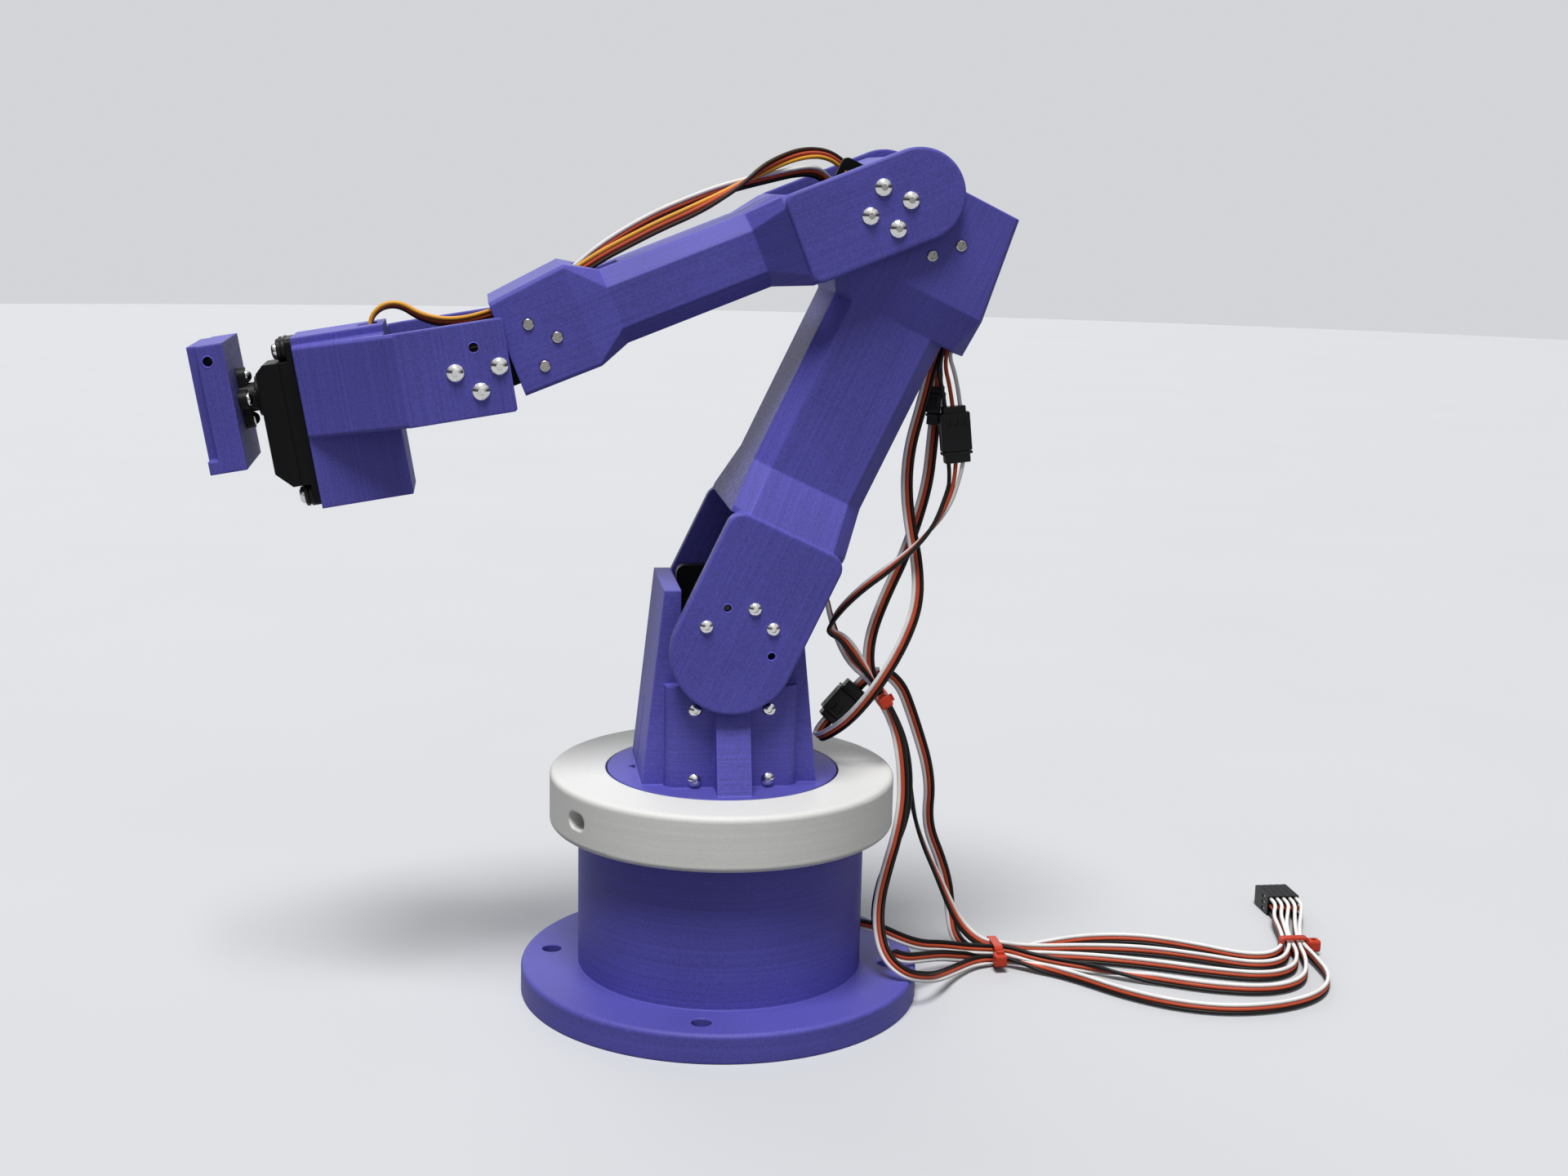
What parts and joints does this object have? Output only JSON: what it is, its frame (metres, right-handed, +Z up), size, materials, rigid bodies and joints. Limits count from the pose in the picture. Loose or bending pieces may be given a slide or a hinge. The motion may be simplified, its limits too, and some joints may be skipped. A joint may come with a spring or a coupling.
{
  "type": "desktop robot arm",
  "caption": "Desktop robot arm: bolted round base with a slewing turntable, forked upper arm and forearm driven by hobby servos, and a pitching, rolling wrist with a tool plate.",
  "frame": {"origin": "middle of the base's mounting face, on the axis of the bolt circle and of the turntable", "axes": "+Z up along the turntable's axis; the arm reaches towards -X in the plane Y = 0, and the leads leave towards +X; the servo horns face -Y"},
  "size_m": [0.4126, 0.14, 0.2931],
  "materials": {
    "purple_print": "printed layers, satin",
    "white_print": "printed layers, satin",
    "servo_black": "moulded",
    "horn_black": "moulded",
    "clamp_black": "printed",
    "bright_screw": "polished",
    "dark_screw": "blackened",
    "ball_steel": "polished",
    "bearing_bronze": "sintered",
    "shaft_steel": "splined",
    "lead_wire": "insulated wire",
    "connector_black": "moulded",
    "tie_red": "moulded"
  },
  "bodies": {
    "base": {"base_housing": "purple_print", "bearing_ring": "white_print", "bearing_balls": "ball_steel", "base_servo": "servo_black", "base_servo_screws": "bright_screw", "wrist_lead_floor": "lead_wire", "elbow_lead_floor": "lead_wire", "shoulder_lead_floor": "lead_wire", "roll_lead_floor": "lead_wire", "base_lead": "lead_wire", "lead_plugs": "connector_black", "floor_ties": "tie_red"},
    "turntable": {"turntable": "purple_print", "base_shaft": "shaft_steel", "base_horn": "horn_black", "base_horn_screws": "bright_screw", "back_plate": "clamp_black", "bracket_screws": "bright_screw", "shoulder_servo": "servo_black", "shoulder_bearing": "bearing_bronze", "shoulder_lead": "lead_wire", "low_connector": "connector_black", "drop_tie": "tie_red"},
    "upper_arm": {"upper_arm": "purple_print", "shoulder_shaft": "shaft_steel", "shoulder_horn": "horn_black", "shoulder_horn_screws": "bright_screw", "shoulder_idler": "bright_screw", "elbow_servo": "servo_black", "elbow_clamp": "clamp_black", "elbow_clamp_screws": "dark_screw", "elbow_bearing": "bearing_bronze", "roll_lead_hanging": "lead_wire", "wrist_lead_hanging": "lead_wire", "elbow_lead_hanging": "lead_wire", "in_line_connectors": "connector_black"},
    "forearm": {"forearm": "purple_print", "elbow_shaft": "shaft_steel", "elbow_horn": "horn_black", "elbow_horn_screws": "bright_screw", "elbow_idler": "bright_screw", "wrist_servo": "servo_black", "wrist_clamp": "clamp_black", "wrist_clamp_screws": "dark_screw", "wrist_bearing": "bearing_bronze", "roll_lead_forearm": "lead_wire", "wrist_lead_forearm": "lead_wire"},
    "wrist": {"wrist_bracket": "purple_print", "wrist_shaft": "shaft_steel", "wrist_horn": "horn_black", "wrist_horn_screws": "bright_screw", "wrist_idler": "bright_screw", "roll_servo": "servo_black", "roll_servo_screws": "bright_screw", "roll_lead_wrist": "lead_wire"},
    "tool": {"tool_plate": "purple_print", "roll_horn": "horn_black", "roll_horn_screws": "bright_screw", "roll_shaft": "shaft_steel"}
  },
  "joints": [
    {"name": "base_yaw", "type": "hinge", "parent": "base", "child": "turntable", "pos_m": [0, 0, 0.08], "axis": [0, 0, 1], "range_deg": [-90, 90], "deforming": ["wrist_lead_floor", "elbow_lead_floor", "shoulder_lead_floor", "roll_lead_floor"]},
    {"name": "shoulder_pitch", "type": "hinge", "parent": "turntable", "child": "upper_arm", "pos_m": [0.001, 0, 0.132], "axis": [0, 1, 0], "range_deg": [-60, 40], "deforming": ["roll_lead_hanging", "wrist_lead_hanging", "elbow_lead_hanging"]},
    {"name": "elbow_pitch", "type": "hinge", "parent": "upper_arm", "child": "forearm", "pos_m": [0.04739, 0, 0.27366], "axis": [0, -1, 0], "range_deg": [-118, 12], "deforming": ["roll_lead_forearm", "wrist_lead_forearm"]},
    {"name": "wrist_pitch", "type": "hinge", "parent": "forearm", "child": "wrist", "pos_m": [-0.0839, 0, 0.22062], "axis": [0, -1, 0], "range_deg": [-75, 75], "deforming": ["roll_lead_wrist"]},
    {"name": "wrist_roll", "type": "hinge", "parent": "wrist", "child": "tool", "pos_m": [-0.0839, 0, 0.22062], "axis": [-0.986, 0, -0.1668], "range_deg": [-90, 90]}
  ]
}
